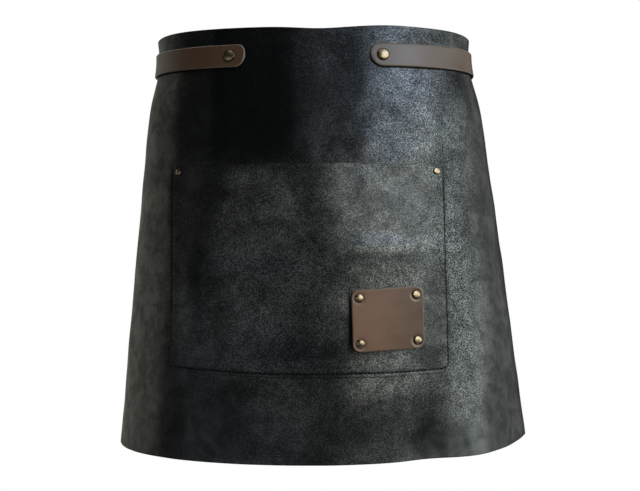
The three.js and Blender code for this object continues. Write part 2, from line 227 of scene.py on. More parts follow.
# %% Folds of the panel
PANEL_FOLDS = [
    Bump("centre ridge", -0.007, -0.030, 0.030, 0.110, 0.0030),
    Bump("hem break", 0.095, -0.330, 0.095, 0.026, 0.0018),
    Bump("hem middle", 0.012, -0.389, 0.055, 0.060, 0.0015),
    Bump("hem dent", 0.116, -0.389, 0.027, 0.055, -0.0075),
    Bump("hem bulge", 0.166, -0.385, 0.032, 0.070, 0.0045),
]
UNEVEN_HEIGHT = 0.0007
UNEVEN_LENGTH = 0.045
UNEVEN_FROM = 0.020
UNEVEN_FULL = 0.080
UNEVEN_FADE = 1.0
UNEVEN_REFINE = 2.0
UNEVEN_LAYERS = 2


def unevenness(along, z):
    """The hide's own slow waves, none where the straps hold it."""
    spots = np.stack([along, z, np.zeros_like(along)], axis=-1) / UNEVEN_LENGTH
    waves = np.array([noise.fractal(spot, UNEVEN_FADE, UNEVEN_REFINE, UNEVEN_LAYERS) for spot in spots])
    return UNEVEN_HEIGHT * waves * smooth(UNEVEN_FROM, UNEVEN_FULL, -z)


def panel_point(along, z, lift):
    """Points on the panel's outer face, or lifted off it."""
    out = lift + heap(PANEL_FOLDS, along, z) + unevenness(along, z)
    return form_point(bearing_at(along, z), z, out)


print("folds of the panel:", [fold.name for fold in PANEL_FOLDS])

# %% [markdown]
# ## From a flat cut to a piece
# Every leather piece is made as a leatherworker makes it: cut flat, then laid on the form. The flat cut is a
# bmesh whose x is the length along the leather and whose y is the height. Laying it on the form only moves
# its vertices. A Solidify modifier then gives the wall its thickness inwards, and a Bevel modifier rounds
# the cut edges, so that they catch the light.

# %% Cut, slice and lay flat leather
ALONG = Vector((1, 0, 0))
UP = Vector((0, 1, 0))
OUT = Vector((0, 0, 1))


def flat_rectangle(half_width, low, high):
    """A flat cut, its two lower corners and its two upper ones."""
    cut = bmesh.new()
    lower = [cut.verts.new((side * half_width, low, 0)) for side in (-1, 1)]
    upper = [cut.verts.new((side * half_width, high, 0)) for side in (1, -1)]
    cut.faces.new(lower + upper)
    return cut, lower, upper


def round_off(shape, parts, affect, offset, steps):
    """Rounds corners or edges."""
    bmesh.ops.bevel(
        shape, geom=parts, offset=offset, affect=affect, segments=steps, profile=0.5, material=-1
    )


def slice_cut(cut, direction, places):
    """Cuts the flat leather along straight lines, so that it can bend there."""
    for place in places:
        everything = cut.verts[:] + cut.edges[:] + cut.faces[:]
        bmesh.ops.bisect_plane(cut, geom=everything, plane_co=direction * place, plane_no=direction)


def flat_places(cut):
    """Length along the leather and height of each vertex of a flat cut."""
    places = np.array([vert.co.xy for vert in cut.verts])
    return places[:, 0], places[:, 1]


def lay(cut, points):
    for vert, point in zip(cut.verts, points):
        vert.co = point


def keep_value(cut, name, values):
    """Stores a number for each vertex, for the finish to read."""
    layer = cut.verts.layers.float.new(name)
    for vert, value in zip(cut.verts, values):
        vert[layer] = value


# %% Make a piece and give it a wall
EDGE_ANGLE = math.radians(40)
THIN_EDGE_ROUND = 0.0004
THIN_EDGE_STEPS = 2
INWARDS = -1
FRONT, FLESH, RIM = range(3)


def make_piece(name, shape, slot, *nodes):
    """Turns a bmesh into a piece that rides with the apron and stands for its nodes."""
    for face in shape.faces:
        face.smooth = True
    mesh = bpy.data.meshes.new(name)
    shape.to_mesh(mesh)
    shape.free()
    piece = bpy.data.objects.new(name, mesh)
    bpy.context.scene.collection.objects.link(piece)
    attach(piece, "root")
    if nodes:
        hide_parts(*nodes)
    print(f"{name}: {len(mesh.polygons)} faces")
    return piece


def give_wall(piece, wall):
    """Thickness towards the back, and rounded cut edges."""
    solid = piece.modifiers.new("wall", "SOLIDIFY")
    solid.thickness = wall
    solid.offset = INWARDS
    solid.use_even_offset = True
    solid.use_quality_normals = True
    solid.material_offset = FLESH
    solid.material_offset_rim = RIM
    bevel = piece.modifiers.new("edges", "BEVEL")
    bevel.limit_method = "ANGLE"
    bevel.angle_limit = EDGE_ANGLE
    bevel.width = THIN_EDGE_ROUND
    bevel.segments = THIN_EDGE_STEPS
    bevel.harden_normals = True


print("thin edges are rounded by", mm(THIN_EDGE_ROUND), "mm")

# %% [markdown]
# ## Where the wax is worn, and where light is painted
# Use rubs some stretches of the wax to a shine and leaves others dull, and the flecks in it are thick in
# some places and missing in others. Other stretches are painted light: the wax's shine is raised for painted
# highlights and lowered for painted shade and shadows. Such a stretch is a bump again, whose amount is its
# strength. The sums are kept on the vertices, and the finish reads them there.

# %% Stretches of worn wax, painted highlights and painted shade
WEAR_AND_PAINTED_LIGHT = [
    Bump("black upper left", -0.054, -0.030, 0.042, 0.074, -1.6, steep=12),
    Bump("dull upper left", -0.055, -0.066, 0.045, 0.038, -1.0),
    Bump("dull left side", -0.165, -0.075, 0.012, 0.050, -0.6),
    # painted shadow to the left of the right strap's tip
    Bump("painted shadow by the right strap", 0.046, -0.008, 0.021, 0.030, -1.5),
    Bump("dull rim at the right", 0.122, 0.020, 0.035, 0.009, -0.9),
    Bump("dull band at the right", 0.080, -0.056, 0.020, 0.012, -0.6),
    Bump("dull vein", 0.049, -0.098, 0.011, 0.060, -0.6),
    Bump("shine at the right", 0.128, -0.050, 0.014, 0.025, 0.5),
    Bump("shine over the pocket", 0.105, -0.084, 0.025, 0.012, 0.45),
    Bump("smudge by the rivet", 0.133, -0.102, 0.014, 0.008, -0.7),
    Bump("shine beside the pocket", 0.143, -0.140, 0.007, 0.032, 0.4),
    Bump("dull right side", 0.166, -0.145, 0.014, 0.050, -0.5),
    Bump("dull side below it", 0.178, -0.228, 0.011, 0.040, -0.35),
    Bump("shine under the mouth", -0.075, -0.123, 0.060, 0.010, 0.6),
    Bump("shine on the pocket", -0.012, -0.158, 0.032, 0.030, 0.9),
    Bump("shine down its middle", 0.018, -0.240, 0.016, 0.042, 1.1),
    Bump("shine at its left seam", -0.126, -0.252, 0.013, 0.050, 1.7),
    Bump("shine in its left corner", -0.116, -0.138, 0.024, 0.032, 0.9),
    Bump("dull pocket left", -0.098, -0.209, 0.017, 0.022, -1.1),
    Bump("dull further down", -0.082, -0.255, 0.014, 0.030, -0.9),
    Bump("dull pocket bottom", -0.006, -0.285, 0.025, 0.028, -0.7),
    Bump("shine on the ridge", 0.110, -0.184, 0.034, 0.011, 0.9),
    Bump("crease over the patch", 0.066, -0.207, 0.035, 0.008, -0.8),
    Bump("dull pocket edge", 0.124, -0.250, 0.014, 0.060, -0.8),
    Bump("shine under the patch", 0.074, -0.290, 0.030, 0.007, 0.5),
    Bump("dull under the patch", 0.060, -0.303, 0.030, 0.012, -0.2),
    # painted shadow along the patch's left edge
    Bump("painted shadow beside the patch", 0.0405, -0.258, 0.0030, 0.024, -6.0, steep=4),
    Bump("shine beside the left seam", -0.158, -0.290, 0.022, 0.080, 0.5),
    Bump("dull under the pocket", -0.060, -0.321, 0.030, 0.011, -1.0),
    Bump("dull hem left", -0.083, -0.338, 0.034, 0.034, -1.1),
    Bump("dull along the hem", -0.055, -0.380, 0.050, 0.012, -0.7),
    Bump("dull hem middle", 0.054, -0.357, 0.019, 0.025, -1.4),
    Bump("dull hem right", 0.110, -0.368, 0.026, 0.018, -0.9),
    Bump("shine by the hem's dent", 0.138, -0.345, 0.016, 0.016, 0.7),
    Bump("shine on the hem", 0.146, -0.366, 0.011, 0.030, 0.5, steep=6),
    # painted shade along the right seam: less wax on the line of the thread
    Bump("painted shade in the right seam", 0.136, -0.205, 0.0015, 0.090, -0.8),
]
print(len(WEAR_AND_PAINTED_LIGHT), "worn stretches")

# %% Stretches with few flecks, and both kept on the leather
CALM = [
    Bump("left side", -0.215, -0.20, 0.090, 0.400, 1.0),
    Bump("right side", 0.220, -0.20, 0.055, 0.350, 1.0),
    Bump("lively right side", 0.155, -0.210, 0.030, 0.130, -0.6),
    Bump("pocket's upper right", 0.085, -0.145, 0.055, 0.035, 0.45),
    Bump("pocket's lower right", 0.125, -0.260, 0.020, 0.060, 0.5),
    Bump("upper left", -0.080, -0.055, 0.070, 0.050, 1.0),
    Bump("lower left", -0.130, -0.360, 0.065, 0.050, 0.8),
    Bump("upper middle", 0.030, -0.050, 0.035, 0.060, 0.2),
    Bump("hem in the middle", -0.010, -0.365, 0.080, 0.040, 0.3),
    Bump("hem at the right", 0.145, -0.380, 0.055, 0.032, 0.9),
]
MOST_FLECKS = 2


def keep_wear_and_painted_light(cut, along, z, wax=1.0):
    """Shine of the wax from wear and painted light, doubled or halved by each whole step, and how thick the
    flecks are.
    """
    keep_value(cut, "shine", wax * 2.0 ** heap(WEAR_AND_PAINTED_LIGHT, along, z))
    keep_value(cut, "flecks", np.clip(1 - heap(CALM, along, z), 0, MOST_FLECKS))


print(len(CALM), "stretches of flecks")

# %% [markdown]
# ## The panel
# The panel is one rectangle of leather, 1.8 mm thick. Its rim sags a little between the straps, and its hem
# isn't quite level. A grid is the right start, because the whole sheet bends softly in both directions.

# %% Cut the panel and hang it
PANEL_WALL = 0.0018
PANEL_HALF_WIDTH = 0.286
PANEL_TOP = 0.029
PANEL_HEM = -0.389
PANEL_COLUMNS = 200
PANEL_ROWS = 150
HEM_TILT = 0.0048
HEM_RISE = 0.0025
HEM_REACH = 0.300
RIM_WAVES = [
    {"name": "sag between the straps", "along": 0.012, "wide": 0.032, "up": -0.0024},
    {"name": "lift at the right strap", "along": 0.084, "wide": 0.030, "up": 0.0012},
    {"name": "droop at the left side", "along": -0.205, "wide": 0.045, "up": -0.0035},
    {"name": "droop at the right side", "along": 0.205, "wide": 0.045, "up": -0.0035},
]
HEM_WAVES = [{"name": "raised right corner", "along": 0.270, "wide": 0.045, "up": 0.0030}]


def wave_rise(waves, along):
    return sum(wave["up"] * bell(along - wave["along"], wave["wide"]) for wave in waves)


panel_cut = bmesh.new()
bmesh.ops.create_grid(panel_cut, x_segments=PANEL_COLUMNS, y_segments=PANEL_ROWS, size=1)
across, up = flat_places(panel_cut)
panel_along = PANEL_HALF_WIDTH * across
hem_part = panel_along / HEM_REACH
rim = PANEL_TOP + wave_rise(RIM_WAVES, panel_along)
hem = PANEL_HEM + HEM_TILT * hem_part + HEM_RISE * hem_part**2 + wave_rise(HEM_WAVES, panel_along)
panel_z = hem + (up + 1) / 2 * (rim - hem)
from_side = PANEL_HALF_WIDTH - np.abs(panel_along)
keep_value(panel_cut, "inset", np.minimum(from_side, np.minimum(rim - panel_z, panel_z - hem)))
keep_wear_and_painted_light(panel_cut, panel_along, panel_z)
lay(panel_cut, panel_point(panel_along, panel_z, 0))
panel = make_piece("panel_leather", panel_cut, "black_leather", "apron_panel")
give_wall(panel, PANEL_WALL)

# %% [markdown]
# ## The pocket
# The pocket is a second piece of leather, rounded at its two lower corners. It is sewn down at the sides and
# the bottom, so it lies close there, stands off in the middle, and gapes a little at the mouth. The thread
# pulls a shallow groove into the leather along the seam, and painted shade darkens the wax along that line.

# %% How far the pocket stands off the panel
GAP = 0.00035
POCKET_WALL = 0.0016
POCKET_CENTRE = -0.002
POCKET_HALF_WIDTH = 0.1414
POCKET_MOUTH = -0.1085
POCKET_BOTTOM = -0.3097
POCKET_STAND = 0.0012
POCKET_GAPE = 0.0120
POCKET_SEAM_SLOPE = 0.040
POCKET_RIVET_INSET = 0.0107
POCKET_RIVET_DROP = 0.0062
POCKET_RIVET_FLAT = 0.008
POCKET_RIVET_REACH = 0.070
POCKET_FOLDS = [
    Bump("ridge across", 0.070, -0.190, 0.060, 0.011, 0.0014),
    Bump("hollow below it", -0.060, -0.215, 0.070, 0.018, -0.0012),
]
pocket_rivet_out = POCKET_HALF_WIDTH - POCKET_RIVET_INSET
pocket_rivet_z = POCKET_MOUTH - POCKET_RIVET_DROP


def pocket_stand(along, z):
    """Height of the pocket's back face over the panel."""
    off_centre = np.abs(along - POCKET_CENTRE)
    from_rivet = np.hypot(off_centre - pocket_rivet_out, z - pocket_rivet_z)
    free = smooth(POCKET_RIVET_FLAT, POCKET_RIVET_REACH, from_rivet)
    side_seam = smooth(0, POCKET_SEAM_SLOPE, POCKET_HALF_WIDTH - off_centre)
    bottom_seam = smooth(0, POCKET_SEAM_SLOPE, z - POCKET_BOTTOM)
    bulge = (1 - np.minimum(1, off_centre / POCKET_HALF_WIDTH) ** 2) ** 2
    climb = (z - POCKET_BOTTOM) / (POCKET_MOUTH - POCKET_BOTTOM)
    loose = np.maximum(0, POCKET_STAND + POCKET_GAPE * bulge * climb + heap(POCKET_FOLDS, along, z))
    return GAP + loose * side_seam * bottom_seam * free


def pocket_face(along, z):
    return panel_point(along, z, pocket_stand(along, z) + POCKET_WALL)


print("width of the pocket in mm:", mm(2 * POCKET_HALF_WIDTH))

# %% Cut the pocket flat
POCKET_CORNER = 0.009
CORNER_STEPS = 8
SEAM_LINES = np.array([0.7, 1.5, 2.2, 2.8, 3.3, 3.8, 4.4, 5.2, 6.5, 8.2, 10.0]) / MM_PER_METRE
MOUTH_LINES = 4
POCKET_PITCH = 0.0025

pocket_cut, pocket_corners, _ = flat_rectangle(POCKET_HALF_WIDTH, POCKET_BOTTOM, POCKET_MOUTH)
round_off(pocket_cut, pocket_corners, "VERTICES", POCKET_CORNER, CORNER_STEPS)
inner_half = POCKET_HALF_WIDTH - SEAM_LINES[-1]
columns = np.arange(-inner_half + POCKET_PITCH, inner_half, POCKET_PITCH)
side_lines = POCKET_HALF_WIDTH - SEAM_LINES
slice_cut(pocket_cut, ALONG, np.concatenate([-side_lines, columns, side_lines]))
bottom_lines = POCKET_BOTTOM + SEAM_LINES
mouth_lines = POCKET_MOUTH - SEAM_LINES[:MOUTH_LINES]
rows = np.arange(bottom_lines[-1] + POCKET_PITCH, POCKET_MOUTH - SEAM_LINES[MOUTH_LINES], POCKET_PITCH)
slice_cut(pocket_cut, UP, np.concatenate([bottom_lines, rows, mouth_lines]))
print(len(pocket_cut.faces), "faces in the flat pocket")

# %% Sew the pocket on
POCKET_BOTTOM_RISE = 0.0035
STITCH_INSET = 0.0033
SEAM_GROOVE = 0.00022
SEAM_GROOVE_WIDTH = 0.0011
# painted shade along the line of the thread
SEAM_PAINTED_SHADE = 0.5


def seam_inset(x, level):
    """Distance inside the sewn edge: two sides, the bottom and the round corners between them."""
    past_side = np.abs(x) - (POCKET_HALF_WIDTH - POCKET_CORNER)
    past_bottom = POCKET_BOTTOM + POCKET_CORNER - level
    in_corner = (past_side > 0) & (past_bottom > 0)
    straight = np.minimum(POCKET_HALF_WIDTH - np.abs(x), level - POCKET_BOTTOM)
    return np.where(in_corner, POCKET_CORNER - np.hypot(past_side, past_bottom), straight)


def pocket_place(x, level):
    """Where a point of the flat pocket lies on the panel."""
    hang = (POCKET_MOUTH - level) / (POCKET_MOUTH - POCKET_BOTTOM)
    return POCKET_CENTRE + x, level + POCKET_BOTTOM_RISE * (x / POCKET_HALF_WIDTH) ** 2 * hang


def seam_line(x, level):
    """One on the line of the thread, and nothing away from it."""
    return bell(seam_inset(x, level) - STITCH_INSET, SEAM_GROOVE_WIDTH)


def pocket_top(x, level):
    """The pocket's outer face, with the groove that its thread pulls in."""
    along, z = pocket_place(x, level)
    lift = pocket_stand(along, z) + POCKET_WALL - SEAM_GROOVE * seam_line(x, level)
    return panel_point(along, z, lift)


pocket_x, pocket_level = flat_places(pocket_cut)
from_mouth = POCKET_MOUTH - pocket_level
keep_value(pocket_cut, "inset", np.minimum(seam_inset(pocket_x, pocket_level), from_mouth))
# painted shade: less wax along the line of the thread
wax_under_seam_shade = 1 - SEAM_PAINTED_SHADE * seam_line(pocket_x, pocket_level)
keep_wear_and_painted_light(pocket_cut, *pocket_place(pocket_x, pocket_level), wax_under_seam_shade)
lay(pocket_cut, pocket_top(pocket_x, pocket_level))
pocket = make_piece("pocket_leather", pocket_cut, "black_leather", "pocket")
give_wall(pocket, POCKET_WALL)

# %% [markdown]
# ## Thick leather
# The straps and the patch are 3 mm thick, and their front edges are rubbed round, which a modifier can't do
# well on a sliced sheet. So they are cut as flat solids: an outline is drawn out to its wall, its front edge
# is bevelled, and only then is it sliced and bent.

# %% A flat solid of thick leather
THICK_EDGE_ROUND = 0.0014
THICK_EDGE_STEPS = 4
SIDE_FACING = 0.1


def thicken(cut, wall):
    """Draws a flat outline out to its wall, and rounds its front edge."""
    drawn = bmesh.ops.extrude_face_region(cut, geom=cut.faces[:])["geom"]
    front = [item for item in drawn if isinstance(item, bmesh.types.BMVert)]
    bmesh.ops.translate(cut, vec=OUT * wall, verts=front)
    bmesh.ops.recalc_face_normals(cut, faces=cut.faces)
    front_edges = [edge for edge in cut.edges if all(vert in front for vert in edge.verts)]
    round_off(cut, front_edges, "EDGES", THICK_EDGE_ROUND, THICK_EDGE_STEPS)


def mark_layers(cut):
    """Tells the front, the flesh side and the rim of a flat solid apart by the way they face."""
    cut.normal_update()
    for face in cut.faces:
        face.material_index = FRONT if face.normal.z > SIDE_FACING else RIM
        if face.normal.z < -SIDE_FACING:
            face.material_index = FLESH
    for edge in cut.edges:
        edge.smooth = edge.calc_face_angle(0) < EDGE_ANGLE


def flat_heights(cut):
    return np.array([vert.co.z for vert in cut.verts])


def keep_edge(cut, wall):
    """How far each vertex lies down the rounded edge, for the finish to lighten it: partly a paler cut edge,
    partly a painted highlight.
    """
    keep_value(cut, "edge", np.clip((wall - flat_heights(cut)) / THICK_EDGE_ROUND, 0, 1))


print("thick edges are rounded by", mm(THICK_EDGE_ROUND), "mm")

# %% [markdown]
# ## The straps
# Each strap is a 24 mm belt of thick brown leather with a round front end, riveted to the panel. It leans
# with the panel, so it stands a little lower than it is wide. It runs round its own side and overlaps the
# other one behind the waist. A circle that is squeezed and then pulled apart in the middle makes the
# outline, and straight slices let it bend round the waist.

# %% Lay a strap round the waist
STRAP_WALL = 0.003
STRAP_GAP = 0.0005
STRAP_OVERLAP = 0.034
STRAP_STEP_LENGTH = 0.030
SIDES = {"left": -1, "right": 1}


def strap_lift(side, distance):
    """The left strap steps outwards behind the waist, so that it lies on the right one."""
    step_start = LOOP_HALF - STRAP_OVERLAP - STRAP_STEP_LENGTH
    step = smooth(step_start, step_start + STRAP_STEP_LENGTH, distance) if side == "left" else 0
    return STRAP_GAP + step * (STRAP_WALL + GAP)


def strap_point(side, along, z, lift):
    """Points on a strap by signed length from the front, carried on past the middle of the back."""
    distance = np.abs(along)
    past = np.maximum(0, distance - LOOP_HALF)
    bearing = bearing_at(np.minimum(distance, LOOP_HALF) - past, np.zeros_like(along))
    bearing = np.where(past > 0, 2 * math.pi - bearing, bearing)
    folds = np.where(distance < PANEL_HALF_WIDTH, heap(PANEL_FOLDS, along, z), 0)
    return form_point(SIDES[side] * bearing, z, lift + folds + strap_lift(side, distance))


print("the straps meet this far from the front in mm:", mm(LOOP_HALF))

# %% Cut a strap flat
STRAP_HEIGHT = 0.0233
STRAP_END_BULGE = {"left": 0.0085, "right": 0.0110}
STRAP_END_SIDES = 48
STRAP_RIVET_AT = 0.0756
STRAP_TIP_PAST_RIVET = {"left": 0.016, "right": 0.0124}
STRAP_PITCH = 0.003
STRAP_EDGE_LINES = np.array([1.6, 2.6, 4.5, 8.0]) / MM_PER_METRE


def strap_cut(side):
    """A flat strap: its round ends are the two halves of a squeezed circle."""
    tip = STRAP_RIVET_AT - STRAP_TIP_PAST_RIVET[side]
    length = LOOP_HALF + STRAP_OVERLAP - tip
    bulge = STRAP_END_BULGE[side]
    cut = bmesh.new()
    bmesh.ops.create_circle(cut, cap_ends=True, segments=STRAP_END_SIDES, radius=STRAP_HEIGHT / 2)
    bmesh.ops.scale(cut, vec=(2 * bulge / STRAP_HEIGHT, 1, 1), verts=cut.verts)
    far_half = [vert for vert in cut.verts if vert.co.x > 0]
    bmesh.ops.translate(cut, vec=ALONG * (length - 2 * bulge), verts=far_half)
    start = tip + bulge if side == "right" else -(tip + length - bulge)
    bmesh.ops.translate(cut, vec=ALONG * start, verts=cut.verts)
    first = min(vert.co.x for vert in cut.verts)
    thicken(cut, STRAP_WALL)
    slice_cut(cut, ALONG, np.arange(first + STRAP_PITCH / 2, first + length, STRAP_PITCH))
    edge_lines = STRAP_HEIGHT / 2 - STRAP_EDGE_LINES
    slice_cut(cut, UP, np.concatenate([-edge_lines, [0], edge_lines]))
    mark_layers(cut)
    return cut


print("a strap can bend every", mm(STRAP_PITCH), "mm")

# %% Make both straps
STRAP_CROWN = 0.00025
RIVET_PRESS = 0.0003
RIVET_PRESS_REACH = 0.009


def make_strap(side):
    """A strap that is crowned across its width and pressed down under its rivet."""
    cut = strap_cut(side)
    along, z = flat_places(cut)
    height = flat_heights(cut)
    keep_edge(cut, STRAP_WALL)
    crown = STRAP_CROWN * (2 * z / STRAP_HEIGHT) ** 2
    from_rivet = np.hypot(np.abs(along) - STRAP_RIVET_AT, z)
    press = RIVET_PRESS * bell(from_rivet, RIVET_PRESS_REACH)
    lay(cut, strap_point(side, along, z, height - (crown + press) * height / STRAP_WALL))
    return make_piece(f"strap_{side}_leather", cut, "brown_leather", f"strap_{side}")


straps = {side: make_strap(side) for side in SIDES}

# %% [markdown]
# ## The patch
# A rounded rectangle of thick brown leather sits on the lower right of the pocket. It was cut a little out
# of square: its rows rise by three degrees and its columns lean by one. Each of its four rivets presses a
# dimple into the leather, and a painted highlight makes each dimple's wall pale on one side. It is left
# bare.

# %% Where the patch and its rivets lie
PATCH_CENTRE = Vector((0.0752, -0.2558, 0))
PATCH_TILT = math.radians(3)
PATCH_LEAN = math.radians(1)
PATCH_RIVET_SPAN = Vector((0.0538, 0.0424, 0))

out_of_square = Matrix((
    (math.cos(PATCH_TILT), -math.sin(PATCH_LEAN), 0),
    (math.sin(PATCH_TILT), math.cos(PATCH_LEAN), 0),
    OUT,
))
to_patch = Matrix.Translation(PATCH_CENTRE) @ out_of_square.to_4x4()
patch_rivet_places = {}
for row, upwards in {"top": 1, "bottom": -1}.items():
    for column, side in SIDES.items():
        corner = Vector((side, upwards, 0)) * PATCH_RIVET_SPAN / 2
        patch_rivet_places[f"{row}_{column}"] = to_patch @ corner
print("rivets of the patch:", list(patch_rivet_places))

# %% Dimples of the patch
PATCH_WALL = 0.003
DIMPLE_DEPTH = 0.0006
DIMPLE_REACH = 0.0056
DIMPLE_STEEP = 8
DIMPLE_HIGHLIGHT = {"left": 0.3, "right": 0.8}
DIMPLE_HIGHLIGHT_WIDTH = 0.0008
DIMPLE_HIGHLIGHT_SIDE = Vector((-0.6, -0.8))


def patch_point(along, z, height):
    """Points of the patch by their height in its wall, pressed down by its rivets."""
    press = np.zeros_like(along)
    for place in patch_rivet_places.values():
        away = np.hypot(along - place.x, z - place.y)
        press += DIMPLE_DEPTH * bell(away, DIMPLE_REACH, DIMPLE_STEEP)
    lift = POCKET_WALL + GAP + height - press * height / PATCH_WALL
    return panel_point(along, z, pocket_stand(along, z) + lift)


def patch_face(along, z):
    return patch_point(along, z, PATCH_WALL)


def painted_dimple_highlight(along, z):
    """How strong the painted highlight is on the dimple round each rivet: only on its wall at the lower
    left.
    """
    painted_highlight = np.zeros_like(along)
    for corner, place in patch_rivet_places.items():
        _, column = corner.split("_")
        away = np.hypot(along - place.x, z - place.y)
        towards = (along - place.x) * DIMPLE_HIGHLIGHT_SIDE.x + (z - place.y) * DIMPLE_HIGHLIGHT_SIDE.y
        on_wall = bell(away - DIMPLE_REACH, DIMPLE_HIGHLIGHT_WIDTH)
        painted_highlight += DIMPLE_HIGHLIGHT[column] * on_wall * np.clip(towards / DIMPLE_REACH, 0, 1)
    return painted_highlight


print("depth of a dimple in mm:", mm(DIMPLE_DEPTH))

# %% Cut the patch and lay it on the pocket
PATCH_WIDTH = 0.068
PATCH_HEIGHT = 0.0578
PATCH_CORNER = 0.0075
PATCH_PITCH = 0.0008

half_width = PATCH_WIDTH / 2
half_height = PATCH_HEIGHT / 2
patch_cut, lower, upper = flat_rectangle(half_width, -half_height, half_height)
round_off(patch_cut, lower + upper, "VERTICES", PATCH_CORNER, CORNER_STEPS)
thicken(patch_cut, PATCH_WALL)
slice_cut(patch_cut, ALONG, np.arange(-half_width + PATCH_PITCH, half_width, PATCH_PITCH))
slice_cut(patch_cut, UP, np.arange(-half_height + PATCH_PITCH, half_height, PATCH_PITCH))
mark_layers(patch_cut)
patch_right, _ = flat_places(patch_cut)
keep_value(patch_cut, "tone", (half_width - patch_right) / PATCH_WIDTH)
keep_edge(patch_cut, PATCH_WALL)
bmesh.ops.transform(patch_cut, matrix=to_patch, verts=patch_cut.verts)
patch_along, patch_z = flat_places(patch_cut)
# painted highlight on the lower left wall of each dimple, kept for the finish
keep_value(patch_cut, "wear_and_painted_highlight", painted_dimple_highlight(patch_along, patch_z))
lay(patch_cut, patch_point(patch_along, patch_z, flat_heights(patch_cut)))
patch = make_piece("patch_leather", patch_cut, "brown_leather", "patch")

# %% [markdown]
# ## The rivets
# Each rivet has a domed brass head in front, a shank through the leather and a flat cap behind. Such a round
# part is turned on a lathe, and a spin does the same: half of its section is drawn and swept once round.
# The sharp rims are then bevelled, because pressed brass has no sharp edges.

# %% Draw half of a rivet's section
RivetSize = namedtuple("RivetSize", "head cap shank rim dome cap_wall")
RIVETS = {
    "strap": RivetSize(head=0.0062, cap=0.0050, shank=0.0019, rim=0.0009, dome=0.0026, cap_wall=0.0009),
    "pocket": RivetSize(head=0.0036, cap=0.0034, shank=0.0013, rim=0.0006, dome=0.0016, cap_wall=0.0007),
    "patch": RivetSize(head=0.0042, cap=0.0034, shank=0.0014, rim=0.0007, dome=0.0020, cap_wall=0.0007),
}
DOME_STEPS = 10


def rivet_section(size, grip):
    """Points from the middle of the back cap to the top of the dome, as distance out and height."""
    section = [
        (0, -grip - size.cap_wall),
        (size.cap, -grip - size.cap_wall),
        (size.cap, -grip),
        (size.shank, -grip),
        (size.shank, 0),
        (size.head, 0),
    ]
    for step in range(DOME_STEPS):
        angle = math.pi / 2 * step / DOME_STEPS
        height = size.rim + (size.dome - size.rim) * math.sin(angle)
        section.append((size.head * math.cos(angle), height))
    section.append((0, size.dome))
    return section


print("heads in mm:", {kind: mm(2 * size.head) for kind, size in RIVETS.items()})

# %% Turn a rivet
RIVET_STEPS = 40
RIM_ROUND = 0.22
RIM_STEPS = 2
RIM_ANGLE = math.radians(50)
SAME_PLACE = 1e-6


def turned_rivet(size, grip):
    """A rivet at the origin that faces up, with how far out each point lies kept on it."""
    rivet = bmesh.new()
    points = [rivet.verts.new((out, 0, height)) for out, height in rivet_section(size, grip)]
    lines = [rivet.edges.new(pair) for pair in zip(points, points[1:])]
    bmesh.ops.spin(
        rivet,
        geom=points + lines,
        cent=(0, 0, 0),
        axis=OUT,
        angle=2 * math.pi,
        steps=RIVET_STEPS,
        use_merge=True,
    )
    bmesh.ops.remove_doubles(rivet, verts=rivet.verts, dist=SAME_PLACE)
    bmesh.ops.recalc_face_normals(rivet, faces=rivet.faces)
    rims = [edge for edge in rivet.edges if edge.calc_face_angle(0) > RIM_ANGLE]
    round_off(rivet, rims, "EDGES", RIM_ROUND * size.rim, RIM_STEPS)
    keep_value(rivet, "edge", [vert.co.xy.length / size.head for vert in rivet.verts])
    return rivet


print(RIVET_STEPS, "steps round a rivet")

# %% Seat the rivets
rivets = []


def spot(surface, along, z):
    return Vector(surface(np.array([along]), np.array([z]))[0])


def facing(surface, along, z):
    """Direction that a surface faces, from its own slopes along and up."""
    run = spot(surface, along + SLOPE_STEP, z) - spot(surface, along - SLOPE_STEP, z)
    climb = spot(surface, along, z + SLOPE_STEP) - spot(surface, along, z - SLOPE_STEP)
    return run.cross(climb).normalized()


def seat_rivet(name, kind, surface, along, z, grip):
    """A rivet whose head lies on a surface and whose shank goes through all the leather below."""
    rivet = turned_rivet(RIVETS[kind], grip)
    turn = OUT.rotation_difference(facing(surface, along, z)).to_matrix().to_4x4()
    seat = Matrix.Translation(spot(surface, along, z)) @ turn
    bmesh.ops.transform(rivet, matrix=seat, verts=rivet.verts)
    rivets.append(make_piece(f"{name}_brass", rivet, "brass", name))


def strap_seat(along, z):
    side = "left" if along[0] < 0 else "right"
    return strap_point(side, along, z, STRAP_WALL - RIVET_PRESS)


def stud_seat(along, z):
    return strap_point("left", along, z, STRAP_WALL)


strap_grip = STRAP_WALL + STRAP_GAP + PANEL_WALL
stud_grip = 2 * STRAP_WALL + GAP
patch_grip = PATCH_WALL + GAP + POCKET_WALL
pocket_grip = POCKET_WALL + GAP + PANEL_WALL
for side, sign in SIDES.items():
    seat_rivet(f"strap_rivet_{side}", "strap", strap_seat, sign * STRAP_RIVET_AT, 0, strap_grip)
    pocket_rivet_at = POCKET_CENTRE + sign * pocket_rivet_out
    seat_rivet(f"pocket_rivet_{side}", "pocket", pocket_face, pocket_rivet_at, pocket_rivet_z, pocket_grip)
for corner, place in patch_rivet_places.items():
    seat_rivet(f"patch_rivet_{corner}", "patch", patch_face, place.x, place.y, patch_grip)
seat_rivet("back_stud", "strap", stud_seat, -LOOP_HALF, 0, stud_grip)
print(len(rivets), "rivets")

# %% [markdown]
# ## The stitches
# A row of black stitches holds the pocket, a little inside its edge. Each stitch is a short, thick bit of
# thread that dips into the leather at both ends, so a stretched ball sunk half way into the groove is
# enough. They are all made in one mesh, because nobody moves a single stitch.

# %% Draw the line of the seam
SEAM_TOP_GAP = 0.002
SEAM_CORNER_POINTS = 12


